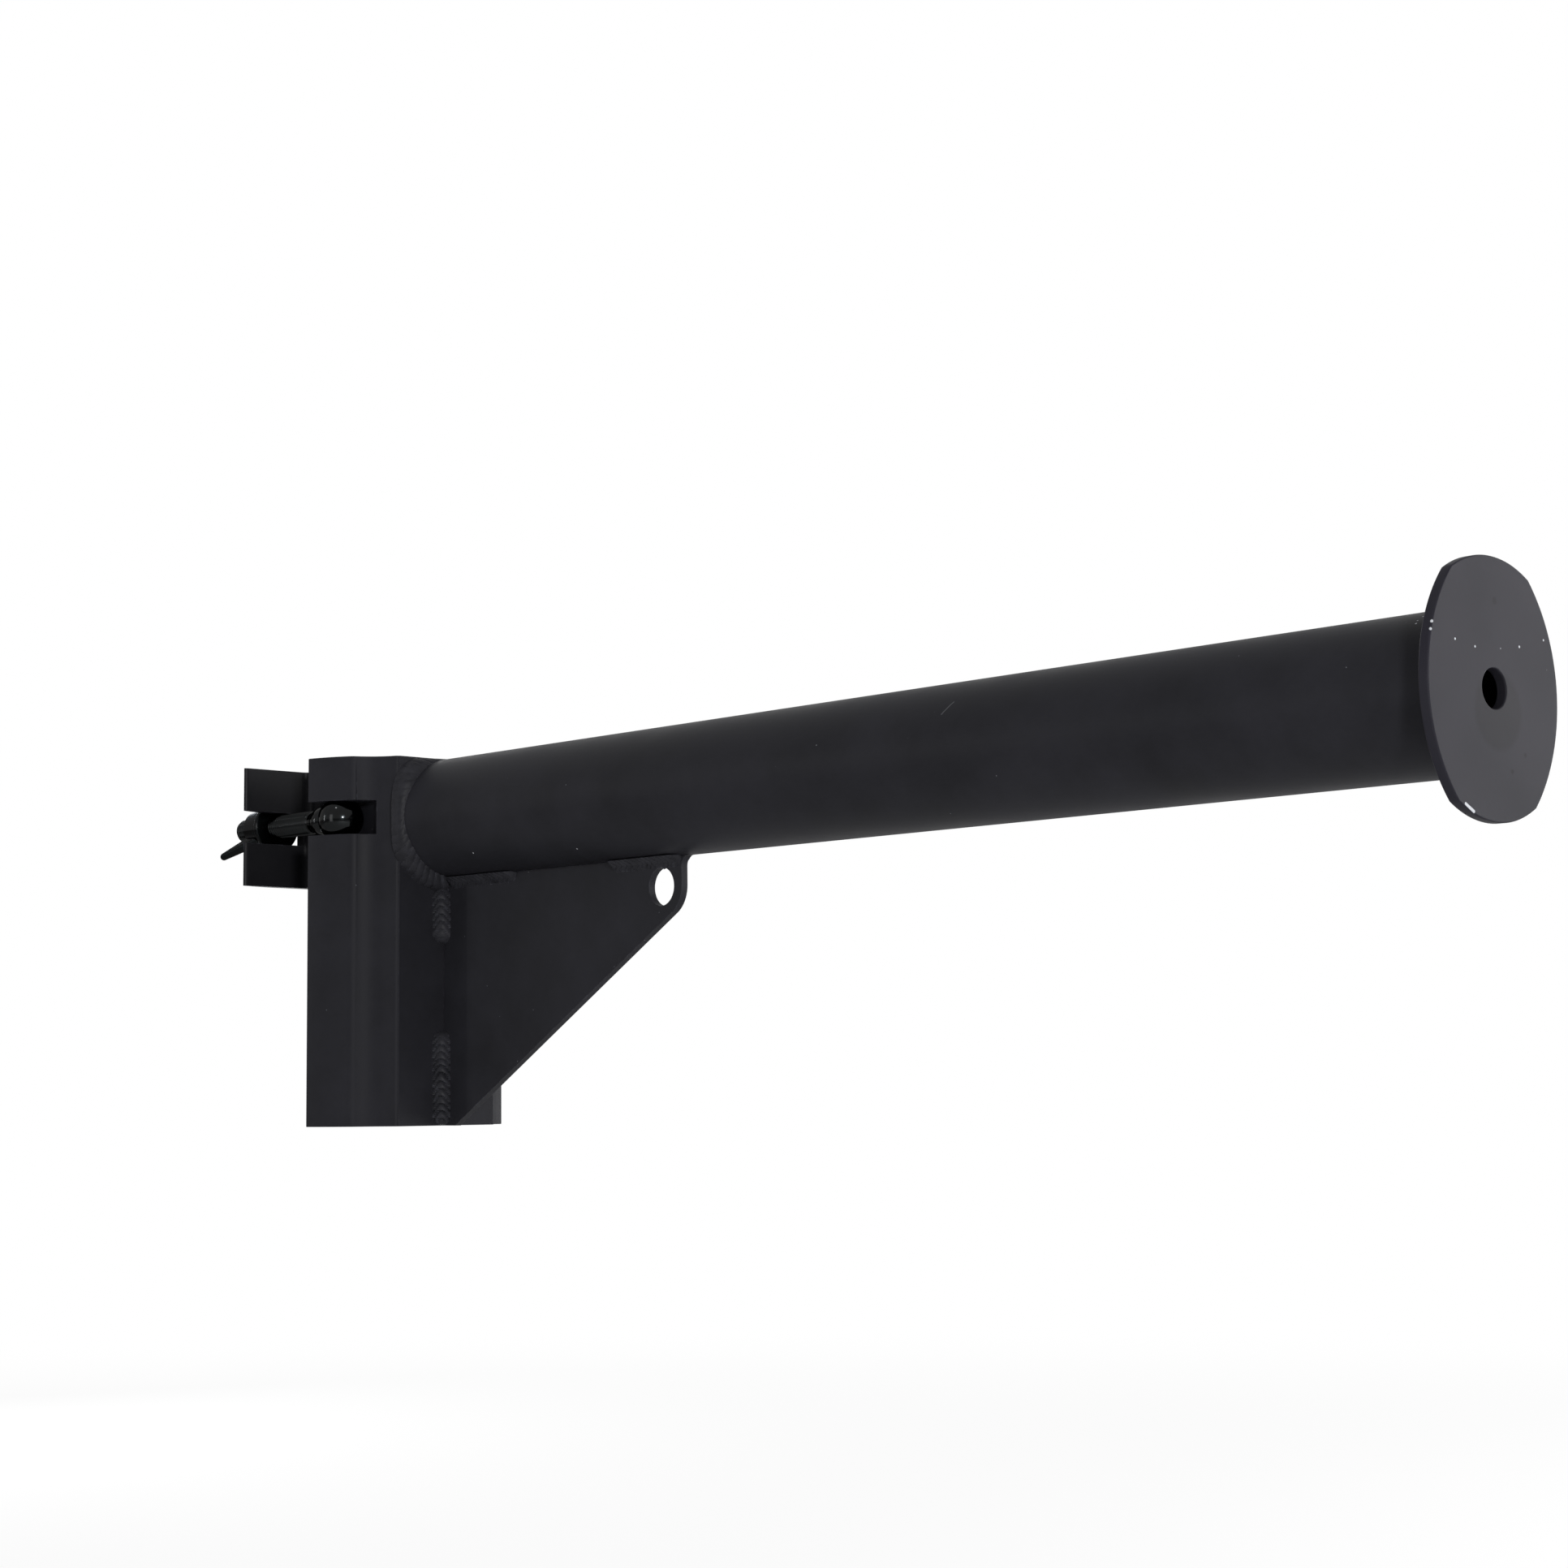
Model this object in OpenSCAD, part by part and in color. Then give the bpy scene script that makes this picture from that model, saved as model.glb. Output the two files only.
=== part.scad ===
// Boom arm that clamps to an upright truss chord. Millimetres, +Z up.
// The origin is where the chord's axis meets the boom tube's axis, and the tube runs along +X.

/* [Truss chord] */
// Diameter of the truss chord that the clamp grips
chord_d = 50; // [48:0.5:51]
// Radial gap between the chord and the clamp when it is shut
chord_gap = 0.1; // [0.05:0.05:0.2]

/* [Saddle] */
// Length of the saddle along the chord
saddle_len = 152.8; // [135:0.1:180]
// Height of the saddle's top above the top of the tube
saddle_rise = 0.3; // [0:0.1:4]
// Thickness of the saddle between the chord and its round back
saddle_wall = 22.8; // [20:0.1:25]
// Depth of the shallow flute down each side of the flat
flute_depth = 2.9; // [1:0.1:4]
// Radius of the flutes
flute_r = 20; // [15:1:30]
// Angle of the flutes' middle from the tube's axis
flute_angle = 42.5; // [40:0.5:46]
// Thickness of the saddle between the chord and the flat that the tube is welded to
boss_h = 16.7; // [16:0.1:20]
// Width of that flat
boss_w = 48.4; // [40:0.2:50]
// Distance from the chord's mid plane to the ends of the saddle's two ears
ear_setback = 8.7; // [7:0.1:9.5]

/* [Pins] */
// Diameter of the hinge pin and of the eye bolt's pivot pin
pin_d = 8; // [6:0.5:9]
// Distance of both pins in front of the chord's mid plane
pin_x = 16.5; // [15.5:0.5:18]
// Distance of both pins outside the chord's bore
pin_offset = 10.9; // [10.5:0.1:12]
// Radial gap of a pivot that turns on its pin
pivot_gap = 0.05; // [0.02:0.01:0.1]
// Radial gap of a pin in the ears that hold it
pin_seat_gap = 0.01; // [0.01:0.01:0.03]

/* [Ear slots] */
// Height of the slot in each ear, for the jaw's tongue and for the eye bolt
slot_w = 14; // [13:0.5:16]
// Distance from the chord's mid plane to the slots' blind ends
slot_end_x = 33.5; // [32:0.5:34]
// Metal left between a slot and the chord's bore
slot_floor = 0.9; // [0.8:0.1:1.2]
// Gap on each side of whatever turns in a slot
slot_gap = 0.4; // [0.3:0.1:0.8]

/* [Jaw] */
// Height of the jaw
jaw_h = 50; // [40:1:56]
// How far the jaw's middle lies below the middle of its tongue
jaw_drop = 1; // [0:0.1:2]
// Wall of the jaw's half ring
jaw_wall = 6.4; // [5:0.2:8]
// Radius of the tongue's barrel round the hinge pin
barrel_r = 8.5; // [7.5:0.5:9]
// Width of the tongue between the barrel and the half ring
tongue_w = 9; // [8:0.5:10]
// Angle past the mid plane at which the half ring ends on its open side
tip_angle = 64; // [58:1:66]
// Thickness of the jaw's fork
fork_t = 5; // [4:0.5:6]
// Distance from the chord's bore to the front of the fork
fork_offset = 1.6; // [1:0.1:3]
// Distance from the eye bolt's axis to the fork's outer end
fork_reach = 20; // [16:0.1:21]
// Width of the gap between the fork's two prongs
fork_gap = 13.6; // [13:0.1:16]
// Radius of the fillet where the fork leaves the half ring
fork_fillet = 4; // [2:0.5:6]

/* [Eye bolt] */
// Thread diameter
bolt_d = 10; // [8:0.5:11]
// Thread pitch
pitch = 1.5; // [1.25:0.25:1.75]
// Depth of the thread
thread_depth = 0.5; // [0.3:0.05:0.8]
// Outer radius of the eye
eye_r = 9.5; // [8.5:0.25:10]
// Radius of the plain collar behind the eye
collar_r = 6; // [5.6:0.1:6.5]
// Distance from the pivot to the end of the collar
collar_end = 16.3; // [12:0.1:18]
// Length of the plain neck between the collar and the first thread
neck_len = 5; // [2:0.5:8]
// Length of bolt that shows past the wing nut
bolt_end = 11.5; // [9.1:0.1:14]

/* [Washer and wing nut] */
// Outer diameter of the washer
washer_d = 21; // [19:0.5:23]
// Thickness of the washer
washer_t = 2.5; // [1.5:0.5:3]
// Radial gap of the washer and of the nut round the thread
thread_gap = 0.05; // [0.05:0.05:0.3]
// Radius of the wing nut's hub at the washer
hub_r = 9.5; // [8.5:0.5:10]
// Radius of the hub at its outer end
hub_end_r = 8; // [7.5:0.1:9]
// Length of the hub
hub_len = 12; // [9:0.5:14]
// Distance from the bolt's axis to a wing's tip
wing_reach = 18; // [16:0.5:26]
// How far the wings stand out past the hub
wing_flare = 11; // [6:0.5:14]
// Thickness of a wing at its root
wing_t = 4.4; // [3.5:0.1:5]
// Thickness of a wing at its tip
wing_tip_t = 3.2; // [2.6:0.1:4]
// Turn of the wings from level
wing_turn = -45; // [-90:1:90]

/* [Boom tube] */
// Outer diameter of the tube
tube_d = 50; // [48:0.5:51]
// Wall of the tube
tube_wall = 3; // [2:0.5:5]
// Distance from the chord's axis to the outer face of the end plate
reach = 557; // [400:1:1000]

/* [End plate] */
// Height of the plate
plate_h = 78.5; // [70:0.5:100]
// Width of the plate between its flattened sides
plate_w = 65.6; // [60:0.2:70]
// Radius of the flattened sides
plate_side_r = 50.4; // [45:0.2:80]
// Thickness of the plate
plate_t = 3.5; // [3:0.5:6]
// Diameter of the hole in its middle
plate_hole_d = 12; // [8:0.5:16]

/* [Gusset] */
// Thickness of the gusset plate
gusset_t = 3; // [2:0.5:6]
// Distance from the chord's axis to the middle of the safety eye
lug_x = 182.8; // [140:0.1:260]
// Distance from the tube's underside to the middle of the safety eye
lug_drop = 11.3; // [10:0.1:20]
// Diameter of the safety eye
lug_hole_d = 14.8; // [10:0.2:16]
// Metal round the safety eye
lug_rim = 4.45; // [3:0.05:6]
// Length of the gusset's foot at the bottom of the saddle
gusset_toe = 8; // [6:0.5:15]
// Radius where the lug meets the tube
neck_r = 4; // [3:0.5:5]

/* [Welds] */
// Leg of the fillet bead round the tube at the saddle
root_leg = 6; // [4:0.5:7]
// Leg of the same bead where it wraps over the edge of the flat
wrap_leg = 3.3; // [2:0.1:4]
// Leg of the small bead round the tube at the end plate
tip_leg = 2.6; // [2:0.2:4]
// Leg of the beads down the gusset
wall_leg = 6.2; // [4:0.2:7]
// Leg of the beads under the tube
seam_leg = 4.8; // [3:0.2:6]
// Distance between two ripples of a bead
ripple = 3; // [2.5:0.5:4]
// Share of the leg by which a ripple steps down
ripple_step = 0.14; // [0.05:0.01:0.2]
// Lengths of the upper and lower beads down the gusset
wall_bead_upper = 21; // [15:1:26]
wall_bead_lower = 39; // [30:1:42]
// Gap between the bead round the tube and the upper bead
wall_bead_gap = 0.2; // [0.1:0.1:4]
// Lengths of the inner and outer beads under the tube
seam_inner = 42; // [25:1:50]
seam_outer = 42; // [25:1:50]

/* [Hidden] */
$fn = 96;
cut = 1;
tube_r = tube_d / 2;
bore_r = chord_d / 2 + chord_gap;
saddle_r = bore_r + saddle_wall;
boss_x = bore_r + boss_h;
saddle_top = tube_r + saddle_rise;
saddle_bottom = saddle_top - saddle_len;
pin_r = pin_d / 2;
pin_len = jaw_h;
pin_y = bore_r + pin_offset;
floor_y = bore_r + slot_floor;
jaw_r = bore_r + jaw_wall;
fork_front = -(bore_r + fork_offset);
seat_x = fork_front - fork_t;
seat_reach = pin_x - seat_x;
fork_end = pin_y + fork_reach;
bolt_r = bolt_d / 2;
shank_start = collar_end + neck_len;
washer_r = washer_d / 2;
nut_reach = seat_reach + washer_t + hub_len;
bolt_reach = nut_reach + bolt_end;
eye_half = slot_w / 2 - slot_gap;
plate_x = reach - plate_t;
lug_z = -(tube_r + lug_drop);
lug_r = lug_hole_d / 2 + lug_rim;
toe_x = boss_x + gusset_toe;
bead_y = gusset_t / 2;
paint = "#2b2c30";
plating = "#3c4144";

// Half ring on the chord's far side, its tongue to the hinge pin and its fork, seen from above
module jaw_ring_outline() {
    difference() {
        circle(r = jaw_r);
        circle(r = bore_r);
        translate([0, -jaw_r - cut]) square(2 * jaw_r + 2 * cut);
        rotate(-tip_angle - 90) translate([0, -cut / 2]) square([2 * jaw_r, 2 * jaw_r]);
    }
}

module fork_outline() {
    translate([seat_x, -fork_end]) {
        translate([0, fork_t / 2]) square([fork_t, fork_end - fork_t / 2 - bore_r * sin(tip_angle) / 2]);
        translate([fork_t / 2, fork_t / 2]) circle(d = fork_t);
    }
}

// Corner fillet between the fork's front and the half ring
module fork_fillet_outline() {
    root_y = -sqrt(pow(jaw_r + fork_fillet, 2) - pow(-fork_front - fork_fillet, 2));
    difference() {
        translate([fork_front - cut / 2, root_y]) square([fork_fillet + cut / 2, -root_y - bore_r / 2]);
        translate([fork_front + fork_fillet, root_y]) circle(r = fork_fillet);
        circle(r = jaw_r - cut);
    }
}

module clamp_jaw() {
    tongue_h = slot_w - 2 * slot_gap;
    color(paint) difference() {
        union() {
            translate([0, 0, -jaw_drop]) jaw_body();
            translate([pin_x, pin_y, -tongue_h / 2]) cylinder(r = barrel_r, h = tongue_h);
            tongue(tongue_h);
        }
        translate([pin_x, pin_y, -jaw_h]) cylinder(r = pin_r + pivot_gap, h = 2 * jaw_h);
        seat_relief();
    }
}

// Half ring and fork, with the gap between the fork's prongs
module jaw_body() {
    translate([0, 0, -jaw_h / 2]) linear_extrude(jaw_h) jaw_ring_outline();
    difference() {
        translate([0, 0, -jaw_h / 2]) linear_extrude(jaw_h) {
            fork_outline();
            fork_fillet_outline();
        }
        translate([seat_x - cut, -fork_end - cut, -fork_gap / 2])
            cube([fork_t + fork_fillet + 2 * cut, fork_end + cut - floor_y, fork_gap]);
        cylinder(r = bore_r, h = jaw_h + 2 * cut, center = true);
    }
}

// Straight web from the barrel to the end of the half ring
module tongue(h) {
    ring_mid = (bore_r + jaw_r) / 2;
    run = norm([pin_x + jaw_wall, pin_y - ring_mid]);
    difference() {
        translate([pin_x, pin_y, 0]) rotate(atan2(ring_mid - pin_y, -jaw_wall - pin_x))
            translate([0, -tongue_w / 2, -h / 2]) cube([run, tongue_w, h]);
        cylinder(r = bore_r, h = 2 * h, center = true);
    }
}

// Rounds the back of the fork about the bolt's pivot, so that the washer can swing clear of it
module seat_relief() {
    difference() {
        translate([seat_x - cut, -fork_end - cut, -jaw_h])
            cube([seat_reach, fork_end + cut - pin_y, 2 * jaw_h]);
        translate([pin_x, -pin_y, -jaw_h - cut]) cylinder(r = seat_reach, h = 2 * jaw_h + 2 * cut);
    }
}

// Round back, flat boss and chord bore, seen from above
module saddle_outline() {
    difference() {
        union() {
            circle(r = saddle_r);
            translate([0, -boss_w / 2]) square([boss_x, boss_w]);
        }
        translate([boss_x, -saddle_r]) square(2 * saddle_r);
        for (side = [-1, 1]) rotate(side * flute_angle)
            translate([saddle_r - flute_depth + flute_r, 0]) circle(r = flute_r);
        circle(r = bore_r);
        translate([ear_setback - 2 * saddle_r, -saddle_r - cut]) square([2 * saddle_r, 2 * saddle_r + 2 * cut]);
    }
}

module ear_slot() {
    translate([0, floor_y, -slot_w / 2]) cube([slot_end_x, saddle_r, slot_w]);
}

module clamp_saddle() {
    color(paint) difference() {
        translate([0, 0, saddle_bottom]) linear_extrude(saddle_len) saddle_outline();
        for (side = [0, 1]) mirror([0, side, 0]) {
            ear_slot();
            translate([pin_x, pin_y, -pin_len / 2]) cylinder(r = pin_r + pin_seat_gap, h = saddle_len);
        }
    }
}

module pivot_pin() {
    translate([pin_x, pin_y, -pin_len / 2]) cylinder(r = pin_r, h = pin_len);
}

module hinge_pin() { color(plating) pivot_pin(); }

module bolt_pivot_pin() { color(plating) mirror([0, 1, 0]) pivot_pin(); }

// Half profile of the bolt's shank and thread, with its length along y
module shank_profile() {
    turns = floor((bolt_reach - shank_start - pitch) / pitch);
    crest = bolt_r;
    root = bolt_r - thread_depth;
    chamfer = collar_r - bolt_r;
    threads = [for (i = [0:turns - 1], k = [0:1])
        [k == 0 ? root : crest, shank_start + (i + k / 2) * pitch]];
    polygon(concat(
        [[0, eye_r / 2], [collar_r, eye_r / 2], [collar_r, collar_end - chamfer],
         [collar_r - chamfer, collar_end], [root, collar_end]],
        threads,
        [[root, bolt_reach - pitch], [root - pitch, bolt_reach], [0, bolt_reach]]));
}

module eye_bolt() {
    color(plating) translate([pin_x, -pin_y, 0]) difference() {
        union() {
            intersection() {
                sphere(r = eye_r);
                cylinder(r = eye_r + cut, h = 2 * eye_half, center = true);
            }
            intersection() {
                rotate([0, -90, 0]) rotate_extrude() rotate(0) shank_profile();
                cube([4 * bolt_reach, 4 * bolt_reach, 2 * eye_half], center = true);
            }
        }
        cylinder(r = pin_r + pivot_gap, h = 4 * eye_half, center = true);
    }
}

// Places a turned piece on the bolt's axis, its base at a distance from the pivot
module on_bolt(distance) {
    translate([pin_x - distance, -pin_y, 0]) rotate([0, -90, 0]) children();
}

module washer() {
    color(plating) on_bolt(seat_reach) difference() {
        cylinder(r = washer_r, h = washer_t);
        translate([0, 0, -cut]) cylinder(r = bolt_r + thread_gap, h = washer_t + 2 * cut);
    }
}

module wing_nut() {
    root_r = wing_t / 2;
    tip_r = wing_tip_t / 2;
    root_x = bolt_r + root_r;
    color(plating) on_bolt(seat_reach + washer_t) difference() {
        union() {
            cylinder(r1 = hub_r, r2 = hub_end_r, h = hub_len);
            for (side = [0, 180]) rotate(side + wing_turn + 90) hull() {
                translate([root_x, 0, hub_len / 4]) sphere(r = root_r, $fn = 24);
                translate([root_x, 0, hub_len - root_r]) sphere(r = root_r, $fn = 24);
                translate([wing_reach - tip_r, 0, hub_len + wing_flare - tip_r]) sphere(r = tip_r, $fn = 24);
            }
        }
        translate([0, 0, -hub_len]) cylinder(r = bolt_r + thread_gap, h = 4 * hub_len);
    }
}

module arm_tube() {
    color(paint) translate([boss_x, 0, 0]) rotate([0, 90, 0]) difference() {
        cylinder(r = tube_r, h = plate_x - boss_x);
        translate([0, 0, -cut]) cylinder(r = tube_r - tube_wall, h = plate_x - boss_x + 2 * cut);
    }
}

module end_plate() {
    side_y = plate_side_r - plate_w / 2;
    color(paint) translate([plate_x, 0, 0]) rotate([90, 0, 90]) linear_extrude(plate_t) difference() {
        intersection() {
            circle(d = plate_h);
            translate([-side_y, 0]) circle(r = plate_side_r);
            translate([side_y, 0]) circle(r = plate_side_r);
        }
        circle(d = plate_hole_d);
    }
}

// Outline of the gusset, seen from the side, with y as height
module gusset_outline() {
    foot = [toe_x, saddle_bottom];
    lug = [lug_x, lug_z];
    far = norm(lug - foot);
    slope = atan2(lug.y - foot.y, lug.x - foot.x) - asin(lug_r / far);
    touch = foot + sqrt(far * far - lug_r * lug_r) * [cos(slope), sin(slope)];
    polygon([[boss_x, 0], [boss_x, saddle_bottom], foot, touch, lug, [lug_x, 0]]);
    translate(lug) circle(r = lug_r);
    translate(lug) square([lug_r, lug_drop + cut]);
    difference() {
        translate([lug_x, -tube_r - neck_r]) square([lug_r + neck_r, neck_r + cut]);
        translate([lug_x + lug_r + neck_r, -tube_r - neck_r]) circle(r = neck_r);
    }
}

module gusset_plate() {
    color(paint) difference() {
        translate([0, gusset_t / 2, 0]) rotate([90, 0, 0]) linear_extrude(gusset_t) gusset_outline();
        rotate([0, 90, 0]) cylinder(r = tube_r, h = reach);
        translate([lug_x, 0, lug_z]) rotate([90, 0, 0])
            cylinder(d = lug_hole_d, h = 3 * gusset_t, center = true);
    }
}

// Bead round the tube, flush with the saddle's top, wrapped over the flat's edges and open at the gusset
module tube_root_weld() {
    wrap_y = tube_r + wrap_leg;
    color(paint) difference() {
        translate([boss_x, 0, 0]) rotate([0, 90, 0]) rotate_extrude() translate([tube_r, 0]) {
            intersection() {
                circle(r = root_leg);
                square(root_leg);
            }
            intersection() {
                circle(r = wrap_leg);
                translate([0, -wrap_leg]) square([wrap_leg, wrap_leg + cut]);
            }
        }
        translate([0, 0, saddle_bottom]) linear_extrude(saddle_len) saddle_outline();
        for (side = [0, 1]) mirror([0, side, 0])
            translate([boss_x / 2, wrap_y, -2 * tube_r]) cube([boss_x, tube_r, 4 * tube_r]);
        translate([boss_x / 2, -2 * tube_r, saddle_top]) cube([boss_x, 4 * tube_r, tube_r]);
        translate([boss_x / 2, -bead_y, -2 * tube_r]) cube([boss_x, gusset_t, 2 * tube_r]);
    }
}

module tube_tip_weld() {
    color(paint) translate([plate_x, 0, 0]) rotate([0, -90, 0]) rotate_extrude() translate([tube_r, 0])
        intersection() {
            circle(r = tip_leg);
            square(tip_leg);
        }
}

// Rippled quarter round bead in the corner of the x and y axes, running up z
module bead(length, leg) {
    count = floor(length / ripple);
    step = length / count;
    intersection() {
        cube([2 * leg, 2 * leg, length]);
        for (i = [0:count - 1]) translate([0, 0, i * step])
            cylinder(h = step, r1 = leg, r2 = leg * (1 - ripple_step));
    }
}

// Bead in the corner between the saddle's flat and the gusset
module wall_bead(top, length) {
    color(paint) translate([boss_x, bead_y, top - length]) bead(length, wall_leg);
}

// Bead in the corner between the gusset and the tube's underside
module seam_bead(start, length) {
    color(paint) difference() {
        translate([start, bead_y, -tube_r]) rotate([90, 0, 90]) mirror([0, 1, 0])
            translate([0, -seam_leg / 4, 0]) bead(length, seam_leg);
        rotate([0, 90, 0]) cylinder(r = tube_r, h = reach);
    }
}

upper_top = -(tube_r + wall_bead_gap + root_leg);
lower_top = saddle_bottom + wall_bead_lower;
inner_start = boss_x + root_leg;
outer_start = lug_x + lug_r - seam_outer;

module wall_weld_upper_left() { wall_bead(upper_top, wall_bead_upper); }
module wall_weld_upper_right() { mirror([0, 1, 0]) wall_bead(upper_top, wall_bead_upper); }
module wall_weld_lower_left() { wall_bead(lower_top, wall_bead_lower); }
module wall_weld_lower_right() { mirror([0, 1, 0]) wall_bead(lower_top, wall_bead_lower); }
module seam_weld_inner_left() { seam_bead(inner_start, seam_inner); }
module seam_weld_inner_right() { mirror([0, 1, 0]) seam_bead(inner_start, seam_inner); }
module seam_weld_outer_left() { seam_bead(outer_start, seam_outer); }
module seam_weld_outer_right() { mirror([0, 1, 0]) seam_bead(outer_start, seam_outer); }

arm_tube();
end_plate();
gusset_plate();
clamp_saddle();
clamp_jaw();
hinge_pin();
bolt_pivot_pin();
eye_bolt();
washer();
wing_nut();
tube_root_weld();
tube_tip_weld();
wall_weld_upper_left();
wall_weld_upper_right();
wall_weld_lower_left();
wall_weld_lower_right();
seam_weld_inner_left();
seam_weld_inner_right();
seam_weld_outer_left();
seam_weld_outer_right();
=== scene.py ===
"""Looks of a truss boom arm: a round boom tube on a saddle clamp with a hinged jaw.

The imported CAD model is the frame. Its solids get rounded edges, laid weld beads and a cut
thread, and every piece gets the finish of the real one.
"""

import logging
import math
from dataclasses import dataclass, replace
from enum import Enum
from typing import Any, Callable, Sequence

import bmesh
import bpy
from mathutils import Matrix, Vector, noise


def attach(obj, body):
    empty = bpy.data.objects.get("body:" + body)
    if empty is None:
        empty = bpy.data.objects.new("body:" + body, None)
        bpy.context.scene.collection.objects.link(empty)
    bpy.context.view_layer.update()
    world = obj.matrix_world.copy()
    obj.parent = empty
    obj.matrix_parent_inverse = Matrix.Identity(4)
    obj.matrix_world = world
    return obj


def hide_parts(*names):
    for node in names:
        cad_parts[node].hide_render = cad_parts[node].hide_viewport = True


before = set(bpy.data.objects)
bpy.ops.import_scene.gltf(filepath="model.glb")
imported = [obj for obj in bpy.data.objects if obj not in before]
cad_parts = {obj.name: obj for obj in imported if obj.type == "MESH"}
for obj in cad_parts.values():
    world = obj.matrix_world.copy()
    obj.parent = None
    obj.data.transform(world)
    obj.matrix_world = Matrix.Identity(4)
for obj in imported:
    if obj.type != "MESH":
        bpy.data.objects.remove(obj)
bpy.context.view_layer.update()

MM = 0.001
LOG = logging.getLogger("truss_boom_arm")

Ring = list[Vector]
Span = tuple[float, float]
Colour = tuple[float, float, float, float]
Tree = bpy.types.NodeTree
Socket = bpy.types.NodeSocket
EdgeTest = Callable[[bmesh.types.BMEdge], bool]

SMOOTH_DEGREES = 40.0    # edges sharper than this stay crisp in the shading
SHARP_DEGREES = 32.0     # edges of the CAD solids sharper than this are rounded
COPLANAR_DEGREES = 0.4   # faces of the CAD solids flatter than this become one
MERGE_MM = 0.002         # corners of the CAD solids nearer than this are one
SLIVER_MM = 0.0002       # edges shorter than this are left over from the rounding
EDGE_SEGMENTS = 2
GENTLE_SEGMENTS = 5
ROUND_PROFILE = 0.5      # the bevel's profile that is a quarter circle
LATHE_FACETS = 96
RINGS_PER_RIPPLE = 12
BEAD_FACETS = 12         # facets across a quarter round of a bead
TINY = 1e-6              # keeps a divisor off zero


class Body(Enum):
    """The CAD bodies that the pieces ride on."""

    ARM = "arm"
    JAW = "jaw"
    BOLT = "bolt"
    WASHER = "washer"
    WING_NUT = "wing_nut"


class Slot(Enum):
    """The record's material slots."""

    PAINT = "paint"
    WELD = "weld"
    JAW_PAINT = "jaw_paint"
    PIN_STEEL = "pin_steel"
    BOLT_STEEL = "bolt_steel"


def linear(hex_colour: str) -> Colour:
    """Turns an sRGB hex colour into linear RGBA.

    Args:
        hex_colour: six hex digits with a leading #.

    Returns:
        Linear red, green, blue and an alpha of 1.
    """
    parts = [int(hex_colour[i:i + 2], 16) / 255 for i in (1, 3, 5)]
    red, green, blue = (c / 12.92 if c <= 0.04045 else ((c + 0.055) / 1.055) ** 2.4
                        for c in parts)
    return red, green, blue, 1.0


def add_node(tree: Tree, kind: str, inputs: dict[Any, Any] | None = None,
             **settings: Any) -> bpy.types.Node:
    """Adds a node with its settings and links.

    Args:
        tree: the node tree that the node joins.
        kind: the node's type name.
        inputs: socket name or index to a value, or to the output socket that feeds it.
        settings: properties of the node itself.

    Returns:
        The new node.
    """
    node = tree.nodes.new(kind)
    for key, value in settings.items():
        setattr(node, key, value)
    for key, value in (inputs or {}).items():
        if isinstance(value, Socket):
            tree.links.new(value, node.inputs[key])
        else:
            node.inputs[key].default_value = value
    return node


def new_tree(name: str) -> tuple[bpy.types.Material, Tree]:
    """Makes an empty node material and returns it with its tree."""
    material = bpy.data.materials.new(name)
    material.use_nodes = True
    material.node_tree.nodes.clear()
    return material, material.node_tree


def per_metre(size_mm: float) -> float:
    """The texture scale at which one feature of a pattern is size_mm wide."""
    return 1 / (size_mm * MM)


def remap(tree: Tree, value: Socket, source: Span, target: Span = (0.0, 1.0),
          **settings: Any) -> Socket:
    """Maps a value from one span to another, clamped at its ends.

    Args:
        tree: the material's node tree.
        value: the socket of the value.
        source: the value's span.
        target: the span that it is mapped to.
        settings: properties of the node.

    Returns:
        The socket of the mapped value.
    """
    return add_node(tree, "ShaderNodeMapRange", {
        "Value": value, "From Min": source[0], "From Max": source[1],
        "To Min": target[0], "To Max": target[1]}, **settings).outputs["Result"]


def mingle(tree: Tree, share: Socket, first: Socket | Colour, second: Socket | Colour) -> Socket:
    """Mixes two colours by a share of the second, and returns the mixed colour's socket."""
    return add_node(tree, "ShaderNodeMix", {0: share, 6: first, 7: second},
                    data_type="RGBA").outputs[2]


def cloudy(tree: Tree, place: Socket, size_mm: float, detail: float,
           roughness: float = 0.5) -> Socket:
    """Adds a noise pattern with features of a size, and returns its socket."""
    return add_node(tree, "ShaderNodeTexNoise", {
        "Vector": place, "Scale": per_metre(size_mm), "Detail": detail,
        "Roughness": roughness}).outputs["Fac"]


def reckon(tree: Tree, operation: str, first: Socket, second: Socket) -> Socket:
    """Joins two values by an operation such as MULTIPLY, and returns the result's socket."""
    return add_node(tree, "ShaderNodeMath", {0: first, 1: second},
                    operation=operation).outputs["Value"]


def raised(tree: Tree, height: Socket, depth_mm: float, under: Socket | None = None) -> Socket:
    """Adds relief to a surface.

    Args:
        tree: the material's node tree.
        height: the socket of the relief's pattern.
        depth_mm: the relief's depth.
        under: the normal of the relief below it, or None for the bare surface.

    Returns:
        The socket of the new normal.
    """
    inputs = {"Height": height, "Strength": 1.0, "Distance": depth_mm * MM}
    if under is not None:
        inputs["Normal"] = under
    return add_node(tree, "ShaderNodeBump", inputs).outputs["Normal"]


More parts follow.
